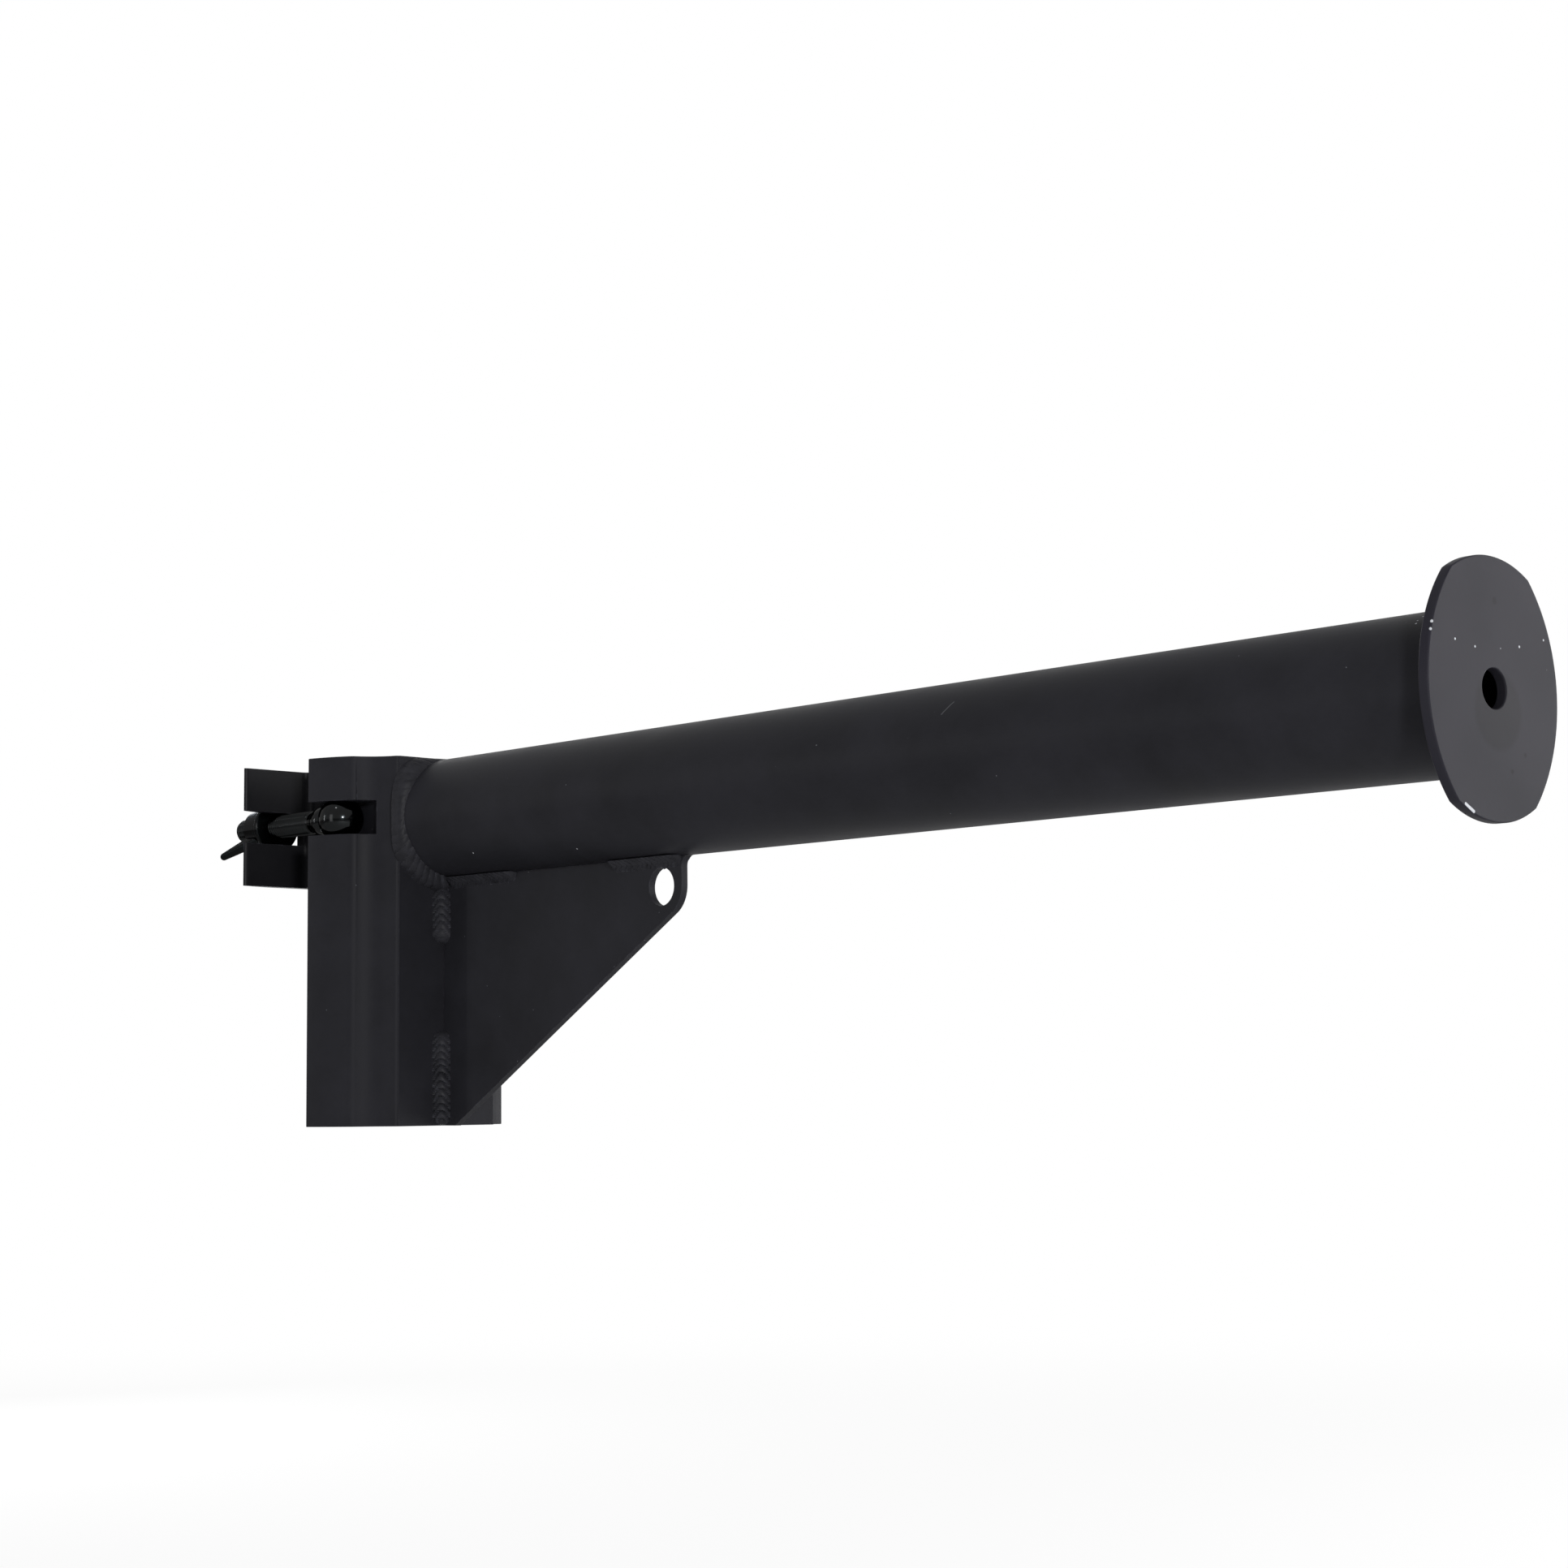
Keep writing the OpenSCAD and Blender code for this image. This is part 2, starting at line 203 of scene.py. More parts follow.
@dataclass(frozen=True)
class Nick:
    """A mark in the coat, in millimetres: a bare dot, a scratch with two ends, or a stain."""

    start: tuple[float, float, float]
    radius: float
    end: tuple[float, float, float] | None = None
    bareness: float = 1.0
    mark_hex: str = "#9A9CA0"
    rim: float = 0.7

    def mask(self, tree: Tree, place: Socket) -> Socket:
        """Adds the nodes that find the nick.

        Args:
            tree: the material's node tree.
            place: the socket of the object coordinates, in metres.

        Returns:
            A socket that is above zero inside the nick.
        """
        start = Vector(self.start) * MM
        run = Vector(self.end or self.start) * MM - start
        away = add_node(tree, "ShaderNodeVectorMath", {0: place, 1: start}, operation="SUBTRACT")
        if run.length > 0:
            share = add_node(tree, "ShaderNodeVectorMath", {
                0: away.outputs["Vector"], 1: run / run.length_squared}, operation="DOT_PRODUCT")
            inside = add_node(tree, "ShaderNodeClamp", {"Value": share.outputs["Value"]})
            foot = add_node(tree, "ShaderNodeVectorMath", {
                0: run, "Scale": inside.outputs["Result"]}, operation="SCALE")
            away = add_node(tree, "ShaderNodeVectorMath", {
                0: away.outputs["Vector"], 1: foot.outputs["Vector"]}, operation="SUBTRACT")
        gap = add_node(tree, "ShaderNodeVectorMath", {0: away.outputs["Vector"]},
                       operation="LENGTH")
        radius = self.radius * MM
        return remap(tree, gap.outputs["Value"], (radius, radius * self.rim),
                     (0.0, self.bareness))


@dataclass(frozen=True)
class PowderCoat:
    """Black polyester powder coat, sprayed and baked on aluminium.

    The eye sees a deep satin black with a fine orange peel, soft wide highlights, a faint
    greyish bloom from handling, and edges rubbed slightly paler. Pale specks of dust lie
    about a cell apart; they are coarser than the real ones, so that they show at all.
    A span is the stretch of a pattern's values over which its effect comes in.
    """

    name: str
    body_hex: str = "#19191C"
    bloom_hex: str = "#202024"
    rubbed_hex: str = "#3A3B42"
    roughness: float = 0.46
    roughness_spread: float = 0.05
    gloss_span: Span = (0.3, 0.7)
    specular: float = 0.035
    peel_mm: float = 1.1
    peel_depth_mm: float = 0.012
    bloom_mm: float = 38.0
    bloom_span: Span = (0.35, 0.75)
    edge_mm: float = 0.7
    edge_samples: int = 4
    edge_turn: Span = (0.97, 0.80)
    rub_mm: float = 2.5
    rub_span: Span = (0.48, 0.66)
    rub_most: float = 0.8
    speck_hex: str = "#55565B"
    speck_cell_mm: float = 9.0
    speck_mm: float = 0.26
    speck_core: float = 0.5
    nicks: tuple[Nick, ...] = ()

    def rubbed(self, tree: Tree, place: Socket) -> Socket:
        """Finds the rubbed edges: where the rounded normal leaves the face's, in patches."""
        edge = add_node(tree, "ShaderNodeBevel", {"Radius": self.edge_mm * MM},
                        samples=self.edge_samples)
        plain = add_node(tree, "ShaderNodeNewGeometry").outputs["Normal"]
        turn = add_node(tree, "ShaderNodeVectorMath", {0: edge.outputs["Normal"], 1: plain},
                        operation="DOT_PRODUCT")
        bare = remap(tree, turn.outputs["Value"], self.edge_turn)
        patches = cloudy(tree, place, self.rub_mm, detail=4.0, roughness=0.7)
        return reckon(tree, "MULTIPLY", bare,
                      remap(tree, patches, self.rub_span, (0.0, self.rub_most)))

    def specks(self, tree: Tree, place: Socket) -> Socket:
        """Finds the specks of dust, one in each cell of a scatter."""
        dust = add_node(tree, "ShaderNodeTexVoronoi", {
            "Vector": place, "Scale": per_metre(self.speck_cell_mm)})
        reach = self.speck_mm / self.speck_cell_mm
        return remap(tree, dust.outputs["Distance"], (reach, self.speck_core * reach))

    def build(self) -> bpy.types.Material:
        """Makes the coat's material.

        Returns:
            The node material.
        """
        material, tree = new_tree(self.name)
        place = add_node(tree, "ShaderNodeTexCoord").outputs["Object"]
        bloom = cloudy(tree, place, self.bloom_mm, detail=5.0, roughness=0.6)
        paint = mingle(tree, remap(tree, bloom, self.bloom_span), linear(self.body_hex),
                       linear(self.bloom_hex))
        paint = mingle(tree, self.rubbed(tree, place), paint, linear(self.rubbed_hex))
        paint = mingle(tree, self.specks(tree, place), paint, linear(self.speck_hex))
        for nick in self.nicks:
            paint = mingle(tree, nick.mask(tree, place), paint, linear(nick.mark_hex))
        gloss = remap(tree, bloom, self.gloss_span, (self.roughness - self.roughness_spread,
                                                     self.roughness + self.roughness_spread))
        peel = cloudy(tree, place, self.peel_mm, detail=2.0, roughness=0.45)
        shader = add_node(tree, "ShaderNodeBsdfPrincipled", {
            "Base Color": paint, "Roughness": gloss,
            "Normal": raised(tree, peel, self.peel_depth_mm),
            "Specular IOR Level": self.specular})
        add_node(tree, "ShaderNodeOutputMaterial", {"Surface": shader.outputs["BSDF"]})
        return material


@dataclass(frozen=True)
class BlackPlate:
    """Forged or turned steel, zinc plated and passivated black.

    The eye sees near-black metal under a clear seal, with small bright highlights and faint
    cloudy patches of a duller film. The film's grain is coarser than the real one, which
    would not show.
    """

    name: str
    metal_hex: str = "#0C0F10"
    cloud_hex: str = "#08090A"
    edge_hex: str = "#8A8E94"
    roughness: float = 0.16
    dull: float = 0.26
    dull_span: Span = (0.4, 0.75)
    cloud_mm: float = 7.0
    cloud_span: Span = (0.4, 0.7)
    grain_mm: float = 0.35
    grain_depth_mm: float = 0.004
    forge_mm: float = 1.6
    forge_depth_mm: float = 0.08
    seal: float = 0.26
    seal_roughness: float = 0.08

    def build(self) -> bpy.types.Material:
        """Makes the plated steel's material.

        Returns:
            The node material.
        """
        material, tree = new_tree(self.name)
        place = add_node(tree, "ShaderNodeTexCoord").outputs["Object"]
        cloud = cloudy(tree, place, self.cloud_mm, detail=4.0, roughness=0.6)
        colour = mingle(tree, remap(tree, cloud, self.cloud_span), linear(self.metal_hex),
                        linear(self.cloud_hex))
        grain = cloudy(tree, place, self.grain_mm, detail=2.0)
        forged = cloudy(tree, place, self.forge_mm, detail=1.5)
        relief = raised(tree, forged, self.forge_depth_mm,
                        under=raised(tree, grain, self.grain_depth_mm))
        shader = add_node(tree, "ShaderNodeBsdfPrincipled", {
            "Base Color": colour, "Metallic": 1.0, "Specular Tint": linear(self.edge_hex),
            "Roughness": remap(tree, cloud, self.dull_span, (self.roughness, self.dull)),
            "Normal": relief, "Coat Weight": self.seal, "Coat Roughness": self.seal_roughness})
        add_node(tree, "ShaderNodeOutputMaterial", {"Surface": shader.outputs["BSDF"]})
        return material


@dataclass(frozen=True)
class FloorPaint:
    """Matt white paint rolled on a floor: plain and pale, so that only the shadow shows.

    The paint turns to plain white with the distance in metres: near and far are each a
    distance and the share of plain white there.
    """

    name: str = "matt_white_floor_paint"
    colour_hex: str = "#F4F4F4"
    white_hex: str = "#FFFFFF"
    near: Span = (0.4, 0.72)
    far: Span = (2.6, 1.0)

    def build(self) -> bpy.types.Material:
        """Makes the floor's material.

        Returns:
            The node material.
        """
        material, tree = new_tree(self.name)
        paint = add_node(tree, "ShaderNodeBsdfDiffuse", {"Color": linear(self.colour_hex)})
        white = add_node(tree, "ShaderNodeEmission", {"Color": linear(self.white_hex),
                                                      "Strength": 1.0})
        path = add_node(tree, "ShaderNodeLightPath")
        place = add_node(tree, "ShaderNodeTexCoord").outputs["Object"]
        away = add_node(tree, "ShaderNodeVectorMath", {0: place}, operation="LENGTH")
        lift = remap(tree, away.outputs["Value"], (self.near[0], self.far[0]),
                     (self.near[1], self.far[1]), interpolation_type="SMOOTHSTEP")
        share = reckon(tree, "MULTIPLY", path.outputs["Is Camera Ray"], lift)
        shader = add_node(tree, "ShaderNodeMixShader", {
            0: share, 1: paint.outputs["BSDF"], 2: white.outputs["Emission"]})
        add_node(tree, "ShaderNodeOutputMaterial", {"Surface": shader.outputs["Shader"]})
        return material


def finish_piece(obj: bpy.types.Object, body: Body, slot: Slot, material: bpy.types.Material,
                 *nodes: str) -> bpy.types.Object:
    """Dresses a piece, says what it rides on and which CAD nodes it stands for.

    Args:
        obj: the piece, in place.
        body: the body that it rides on.
        slot: not used.
        material: its finish.
        nodes: the CAD nodes that it replaces.

    Returns:
        The same piece.
    """
    obj.data.materials.clear()
    obj.data.materials.append(material)
    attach(obj, body.value)
    if nodes:
        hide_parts(*nodes)
    LOG.info("piece %s: %d faces, rides on %s", obj.name, len(obj.data.polygons), body.value)
    return obj


def object_from(name: str, work: bmesh.types.BMesh) -> bpy.types.Object:
    """Makes an object of a bmesh, shaded smooth up to SMOOTH_DEGREES.

    Args:
        name: the object's name.
        work: the mesh, in metres. It is freed.

    Returns:
        The new object, linked to the scene.
    """
    bmesh.ops.recalc_face_normals(work, faces=work.faces)
    mesh = bpy.data.meshes.new(name)
    work.to_mesh(mesh)
    work.free()
    mesh.shade_smooth()
    mesh.set_sharp_from_angle(angle=math.radians(SMOOTH_DEGREES))
    obj = bpy.data.objects.new(name, mesh)
    bpy.context.scene.collection.objects.link(obj)
    return obj


def loft(rings: Sequence[Ring], closed: bool,
         work: bmesh.types.BMesh | None = None) -> bmesh.types.BMesh:
    """Skins rings of points, which are in millimetres.

    Args:
        rings: rings with the same number of points.
        closed: whether the last ring joins the first. Otherwise both ends are capped.
        work: a mesh to add the skin to.

    Returns:
        The mesh, in metres.
    """
    work = work or bmesh.new()
    rows = [[work.verts.new(p * MM) for p in ring] for ring in rings]
    count = len(rows[0])
    for i in range(len(rows) if closed else len(rows) - 1):
        low, high = rows[i], rows[(i + 1) % len(rows)]
        for k in range(count):
            work.faces.new((low[k], low[(k + 1) % count], high[(k + 1) % count], high[k]))
    if not closed:
        work.faces.new(rows[0][::-1])
        work.faces.new(rows[-1])
    return work


def turned(profile: Sequence[Span], origin: Vector, axis: Vector,
           work: bmesh.types.BMesh | None = None) -> bmesh.types.BMesh:
    """Turns a closed profile round an axis, as a lathe does.

    Args:
        profile: (radius, height) corners in millimetres, none on the axis.
        origin: the point on the axis where height is zero.
        axis: unit vector of growing height.
        work: a mesh to add the shape to.

    Returns:
        The mesh, in metres.
    """
    side = axis.orthogonal().normalized()
    other = axis.cross(side)
    rings = []
    for i in range(LATHE_FACETS):
        angle = math.tau * i / LATHE_FACETS
        out = side * math.cos(angle) + other * math.sin(angle)
        rings.append([origin + out * r + axis * h for r, h in profile])
    return loft(rings, True, work)


def round_edges(work: bmesh.types.BMesh, chosen: EdgeTest, width_mm: float,
                segments: int) -> None:
    """Rounds the edges that a test picks.

    Args:
        work: the mesh, in metres.
        chosen: the test.
        width_mm: width of the rounding.
        segments: facets across the rounding.
    """
    edges = [e for e in work.edges if e.is_manifold and chosen(e)]
    bmesh.ops.bevel(work, geom=edges, offset=width_mm * MM, segments=segments,
                    profile=ROUND_PROFILE, affect="EDGES", clamp_overlap=True)


def is_sharp(edge: bmesh.types.BMEdge) -> bool:
    """Whether an edge is sharper than SHARP_DEGREES."""
    return edge.calc_face_angle(0.0) > math.radians(SHARP_DEGREES)


def softened(node: str, name: str, radius_mm: float,
             gentle: tuple[float, EdgeTest] | None = None) -> bpy.types.Object:
    """Makes a piece of a CAD node's shape with its sharp edges rounded.

    Args:
        node: the CAD node.
        name: the piece's name.
        radius_mm: width of the rounding.
        gentle: a wider rounding in millimetres, and the test for the edges that get it.

    Returns:
        The new object.
    """
    work = bmesh.new()
    work.from_mesh(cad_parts[node].data)
    bmesh.ops.remove_doubles(work, verts=work.verts, dist=MERGE_MM * MM)
    bmesh.ops.dissolve_limit(work, angle_limit=math.radians(COPLANAR_DEGREES),
                             verts=work.verts, edges=work.edges)
    if gentle:
        width_mm, chosen = gentle
        round_edges(work, chosen, width_mm, GENTLE_SEGMENTS)
    round_edges(work, is_sharp, radius_mm, EDGE_SEGMENTS)
    bmesh.ops.dissolve_degenerate(work, edges=work.edges, dist=SLIVER_MM * MM)
    obj = object_from(name, work)
    keep = obj.modifiers.new("even_faces", "WEIGHTED_NORMAL")
    keep.keep_sharp = True
    return obj


@dataclass(frozen=True)
class BeadStyle:
    """How a weld bead is laid: the leg, and the ripples that each pause of the torch leaves.

    A ripple rises slowly and ends in a step, scallop deep as a share of the leg, and bows
    across the bead by a share of its own length. Noise makes it uneven: drift moves the
    ripples by a share of their length, relief makes some deeper than others, and wander
    swells the bead by a share of its leg. side_share stretches the second leg, flat_share
    turns the quarter round towards a flat face, and calm is the share of the ripples' depth
    that is missing on the tube's sides.
    """

    leg_mm: float
    ripple_mm: float
    scallop: float
    bow: float = 1.0
    wander: float = 0.05
    side_share: float = 1.0
    flat_share: float = 0.3
    calm: float = 0.0
    step_power: int = 3
    drift: float = 0.35
    drift_mm: float = 7.0
    drift_seed: float = 4.0
    relief_mean: float = 0.85
    relief_swing: float = 0.8
    relief_least: float = 0.3
    relief_mm: float = 8.0
    relief_seed: float = 2.0
    uneven_mm: float = 9.0
    uneven_across: float = 1.5

    def reach(self, along: float, turn: float, seed: float, calmed: float = 0.0) -> float:
        """Radius of the bead at a place.

        Args:
            along: distance along the bead in millimetres.
            turn: place across the bead, from 0 to 1.
            seed: moves the bead's own unevenness.
            calmed: share of the ripples' depth that is missing there.

        Returns:
            The radius in millimetres.
        """
        drift = self.drift * noise.noise(
            Vector((along / self.drift_mm, 0.0, seed + self.drift_seed)))
        phase = (along / self.ripple_mm + drift - self.bow * math.sin(math.pi * turn)) % 1.0
        uneven = noise.noise(Vector((along / self.uneven_mm, turn * self.uneven_across, seed)))
        depth = noise.noise(Vector((along / self.relief_mm, seed, self.relief_seed)))
        relief = self.scallop * max(self.relief_least,
                                    self.relief_mean + self.relief_swing * depth)
        relief *= 1 - calmed
        return self.leg_mm * (1 - relief * phase ** self.step_power + self.wander * uneven)

    def flatten(self, angle: float) -> float:
        """Share of the radius that is left where the face is flatter than a quarter round."""
        chord = 1 / (abs(math.cos(angle)) + abs(math.sin(angle)))
        return 1 - self.flat_share * (1 - chord)


@dataclass(frozen=True)
class Corner:
    """A straight corner between two surfaces, in millimetres.

    It has a start, a unit vector down it and one over each surface, and the way to the
    hidden corner of the bead's section.
    """

    start: Vector
    along: Vector
    first: Vector
    second: Vector
    inset: Vector

    def bead(self, style: BeadStyle, length: float, seed: float, end_legs: float = 0.9,
             end_least: float = 0.02) -> bmesh.types.BMesh:
        """Lays a bead down the corner, with rounded ends.

        Args:
            style: how the bead is laid.
            length: length of the bead in millimetres.
            seed: moves the bead's own unevenness.
            end_legs: length of a rounded end, in legs.
            end_least: square of the bead's least share of its size, at the very end.

        Returns:
            The mesh, in metres.
        """
        rings, steps = [], round(length / style.ripple_mm * RINGS_PER_RIPPLE)
        for i in range(steps + 1):
            place = length * i / steps
            end = min(place, length - place) / (end_legs * style.leg_mm)
            taper = math.sqrt(max(end_least, 1 - (1 - min(1.0, end)) ** 2))
            centre = self.start + self.along * place
            ring = [centre + self.inset]
            for k in range(BEAD_FACETS + 1):
                angle = math.pi / 2 * k / BEAD_FACETS
                radius = style.reach(place, k / BEAD_FACETS, seed) * taper * style.flatten(angle)
                ring.append(centre + self.first * (radius * math.cos(angle))
                            + self.second * (radius * style.side_share * math.sin(angle)))
            rings.append(ring)
        return loft(rings, False)


@dataclass
class BoomArm:
    """The boom tube, its end plate and the gusset with the safety eye."""

    plate_edge_mm: float = 0.5
    gusset_edge_mm: float = 0.4
    tube_edge_mm: float = 0.3
    plate_hex: str = "#1D1C22"
    plate_nicks: tuple[Nick, ...] = (
        Nick((557, -18.9, 12.8), 0.42), Nick((557, -9.1, 11.5), 0.40),
        Nick((557, 3.8, 12.1), 0.3, None, 0.4), Nick((557, 13.5, 13.5), 0.45),
        Nick((557, 26.3, 16.7), 0.38), Nick((556.9, -16.4, -34.6), 0.55, (556.9, -12.4, -36.6)),
        Nick((556.8, -29.8, 16.9), 0.55), Nick((556.8, -30.5, 14.6), 0.5),
        Nick((557, 1.5, -6.5), 12.5, None, 0.4, "#101011", 0.85),
        Nick((557, 7.6, -23.8), 0.8, None, 0.7, "#0E0E0F"),
        Nick((557, 14.6, -18.6), 0.8, None, 0.6, "#0E0E0F"),
        Nick((557, 1.5, 26.0), 1.3, None, 0.4, "#0E0E0F"))
    tube_nicks: tuple[Nick, ...] = (
        Nick((541.5, -11.9, 22.0), 0.45), Nick((541.0, -14.2, 20.6), 0.3),
        Nick((541.5, -15.7, 19.5), 0.4),
        Nick((354.2, -22.4, 11.2), 0.3, (357.6, -19.9, 15.2), 0.13),
        Nick((84.1, -17.6, -17.7), 0.35), Nick((147.8, -14.8, -20.2), 0.4),
        Nick((294.5, -24.2, 6.1), 0.25, None, 0.4), Nick((153.4, -24.7, 3.8), 0.2, None, 0.4))

    def build(self, coat: PowderCoat) -> None:
        """Builds and dresses the arm's plates and tube.

        Args:
            coat: the powder coat.
        """
        tube = replace(coat, name=coat.name + "_nicked_tube", nicks=self.tube_nicks)
        plate = replace(coat, name=coat.name + "_nicked_plate", nicks=self.plate_nicks,
                        body_hex=self.plate_hex)
        gusset = replace(coat, name=coat.name + "_gusset")
        for node, name, edge, look in (
                ("arm_tube", "boom_tube", self.tube_edge_mm, tube),
                ("end_plate", "drilled_end_plate", self.plate_edge_mm, plate),
                ("gusset_plate", "gusset_with_eye", self.gusset_edge_mm, gusset)):
            finish_piece(softened(node, name, edge), Body.ARM, Slot.PAINT, look.build(), node)


@dataclass
class SaddleClamp:
    """The saddle, the hinged jaw and the two pins."""

    saddle_edge_mm: float = 0.6
    crease_mm: float = 3.0
    crease_x: float = 28.7
    crease_y: float = 38.35
    crease_near: float = 0.4
    jaw_edge_mm: float = 0.6
    pin_edge_mm: float = 0.5

    def is_crease(self, edge: bmesh.types.BMEdge) -> bool:
        """Whether an edge is where the saddle's round back turns into a flute."""
        return all(abs(v.co.x / MM - self.crease_x) < self.crease_near
                   and abs(abs(v.co.y / MM) - self.crease_y) < self.crease_near
                   for v in edge.verts)

    def build(self, coat: bpy.types.Material, jaw_coat: bpy.types.Material,
              steel: bpy.types.Material) -> None:
        """Builds and dresses the clamp.

        Args:
            coat: the saddle's powder coat.
            jaw_coat: the jaw's powder coat, made darker than the saddle's as painted shade.
            steel: the pins' plated steel.
        """
        saddle = softened("clamp_saddle", "saddle", self.saddle_edge_mm,
                          gentle=(self.crease_mm, self.is_crease))
        finish_piece(saddle, Body.ARM, Slot.PAINT, coat, "clamp_saddle")
        finish_piece(softened("clamp_jaw", "jaw_with_fork", self.jaw_edge_mm), Body.JAW,
                     Slot.JAW_PAINT, jaw_coat, "clamp_jaw")
        for node, name in (("hinge_pin", "jaw_hinge_pin"), ("bolt_pivot_pin", "eye_bolt_pin")):
            finish_piece(softened(node, name, self.pin_edge_mm), Body.ARM, Slot.PIN_STEEL,
                         steel, node)


@dataclass
class EyeBoltSet:
    """The swinging eye bolt with its washer and wing nut, all in millimetres.

    Distances along the bolt start at its pivot. The collar is widest at bulge_at and waist
    smaller at its end. The thread rises over one pitch, and the bolt's far end is turned
    down over end_length.
    """

    pivot: Vector = Vector((16.5, -36.0, 0.0))
    bore_r: float = 4.05
    eye_r: float = 9.5
    eye_half: float = 6.6
    eye_lip: float = 0.5
    eye_flat_inset: float = 0.3
    eye_edge_angle: float = 0.03
    eye_facets: int = 20
    collar_r: float = 6.0
    collar_end: float = 16.3
    collar_rings: int = 30
    collar_step: float = 0.37
    neck_step: float = 0.05
    bulge_at: float = 12.6
    waist: float = 0.9
    shank_facets: int = 60
    thread_r: float = 5.0
    thread_depth: float = 0.6
    thread_flank: float = 2.6
    thread_rings: int = 10
    pitch: float = 1.5
    thread_start: float = 21.0
    bolt_reach: float = 74.2
    end_length: float = 1.2
    end_inset: float = 0.9
    end_rise: float = 1.5
    seat: float = 48.2
    washer_r: float = 10.5
    washer_t: float = 2.5
    washer_gap: float = 0.05
    washer_lip: float = 0.35
    washer_lip_share: float = 0.4
    washer_round: float = 0.1
    nut_edge_mm: float = 0.5

    def along(self, distance: float) -> Vector:
        """The point on the bolt's axis at a distance from its pivot."""
        return self.pivot + Vector((-distance, 0, 0))

    def eye(self, work: bmesh.types.BMesh) -> None:
        """Adds the ball-shaped eye, flat above and below, with its bore."""
        half, lip = self.eye_half, self.eye_lip
        flat_r = math.sqrt(self.eye_r ** 2 - half ** 2) - self.eye_flat_inset
        top = math.asin(half / self.eye_r) - self.eye_edge_angle
        profile = [(self.bore_r, -half + lip), (self.bore_r + lip, -half), (flat_r, -half)]
        for i in range(self.eye_facets + 1):
            angle = -top + 2 * top * i / self.eye_facets
            profile.append((self.eye_r * math.cos(angle), self.eye_r * math.sin(angle)))
        profile += [(flat_r, half), (self.bore_r + lip, half), (self.bore_r, half - lip)]
        turned(profile, self.pivot, Vector((0, 0, 1)), work)

    def shank_radius(self, distance: float, angle: float) -> float:
        """Radius of the shank, its collar and its thread.

        Args:
            distance: distance from the pivot in millimetres.
            angle: angle round the axis in radians.

        Returns:
            The radius in millimetres.
        """
        root = self.thread_r - self.thread_depth
        if distance <= self.collar_end:
            off = (distance - self.bulge_at) / (self.collar_end - self.bulge_at)
            return self.collar_r - self.waist * min(1.0, off * off)
        if distance < self.thread_start - self.pitch:
            return root
        turn = (distance / self.pitch + angle / math.tau) % 1.0
        ridge = min(1.0, self.thread_flank * (0.5 - abs(turn - 0.5)))
        start = min(1.0, max(0.0, (distance - self.thread_start + self.pitch) / self.pitch))
        end = min(1.0, max(0.0, (self.bolt_reach - distance) / self.end_length))
        return min(root + self.thread_depth * ridge * start,
                   root - self.end_inset + self.end_rise * end)

    def shank(self, work: bmesh.types.BMesh) -> None:
        """Adds the collar, the neck and the helical thread."""
        places = [self.collar_end - self.collar_step * i for i in range(self.collar_rings, -1, -1)]
        step, neck = self.pitch / self.thread_rings, self.collar_end + self.neck_step
        count = round((self.bolt_reach - neck) / step)
        places += [neck + step * i for i in range(count)] + [self.bolt_reach]
        rings = []
        for place in places:
            ring = []
            for k in range(self.shank_facets):
                angle = math.tau * k / self.shank_facets
                out = Vector((0, math.cos(angle), math.sin(angle)))
                ring.append(self.along(place) + out * self.shank_radius(place, angle))
            rings.append(ring)
        loft(rings, False, work)

    def washer(self) -> bpy.types.Object:
        """Makes the plain washer with its edges broken.

        Returns:
            The washer.
        """
        r, t, lip = self.washer_r, self.washer_t, self.washer_lip
        hole, near = self.thread_r + self.washer_gap, r - self.washer_round
        low = lip * self.washer_lip_share
        profile = [(hole, lip), (hole + lip, 0), (r - lip, 0), (near, low), (r, lip),
                   (r, t - lip), (near, t - low), (r - lip, t), (hole + lip, t), (hole, t - lip)]
        return object_from("plain_washer",
                           turned(profile, self.along(self.seat), Vector((-1, 0, 0))))

    def build(self, steel: bpy.types.Material, cast: bpy.types.Material) -> None:
        """Builds and dresses the bolt, the washer and the wing nut.

        Args:
            steel: the bolt's plated steel.
            cast: the washer's and the nut's duller plating.
        """
        work = bmesh.new()
        self.eye(work)
        self.shank(work)
        finish_piece(object_from("threaded_eye_bolt", work), Body.BOLT, Slot.BOLT_STEEL, steel,
                     "eye_bolt")
        finish_piece(self.washer(), Body.WASHER, Slot.BOLT_STEEL, cast, "washer")
        finish_piece(softened("wing_nut", "cast_wing_nut", self.nut_edge_mm), Body.WING_NUT,
                     Slot.BOLT_STEEL, cast, "wing_nut")


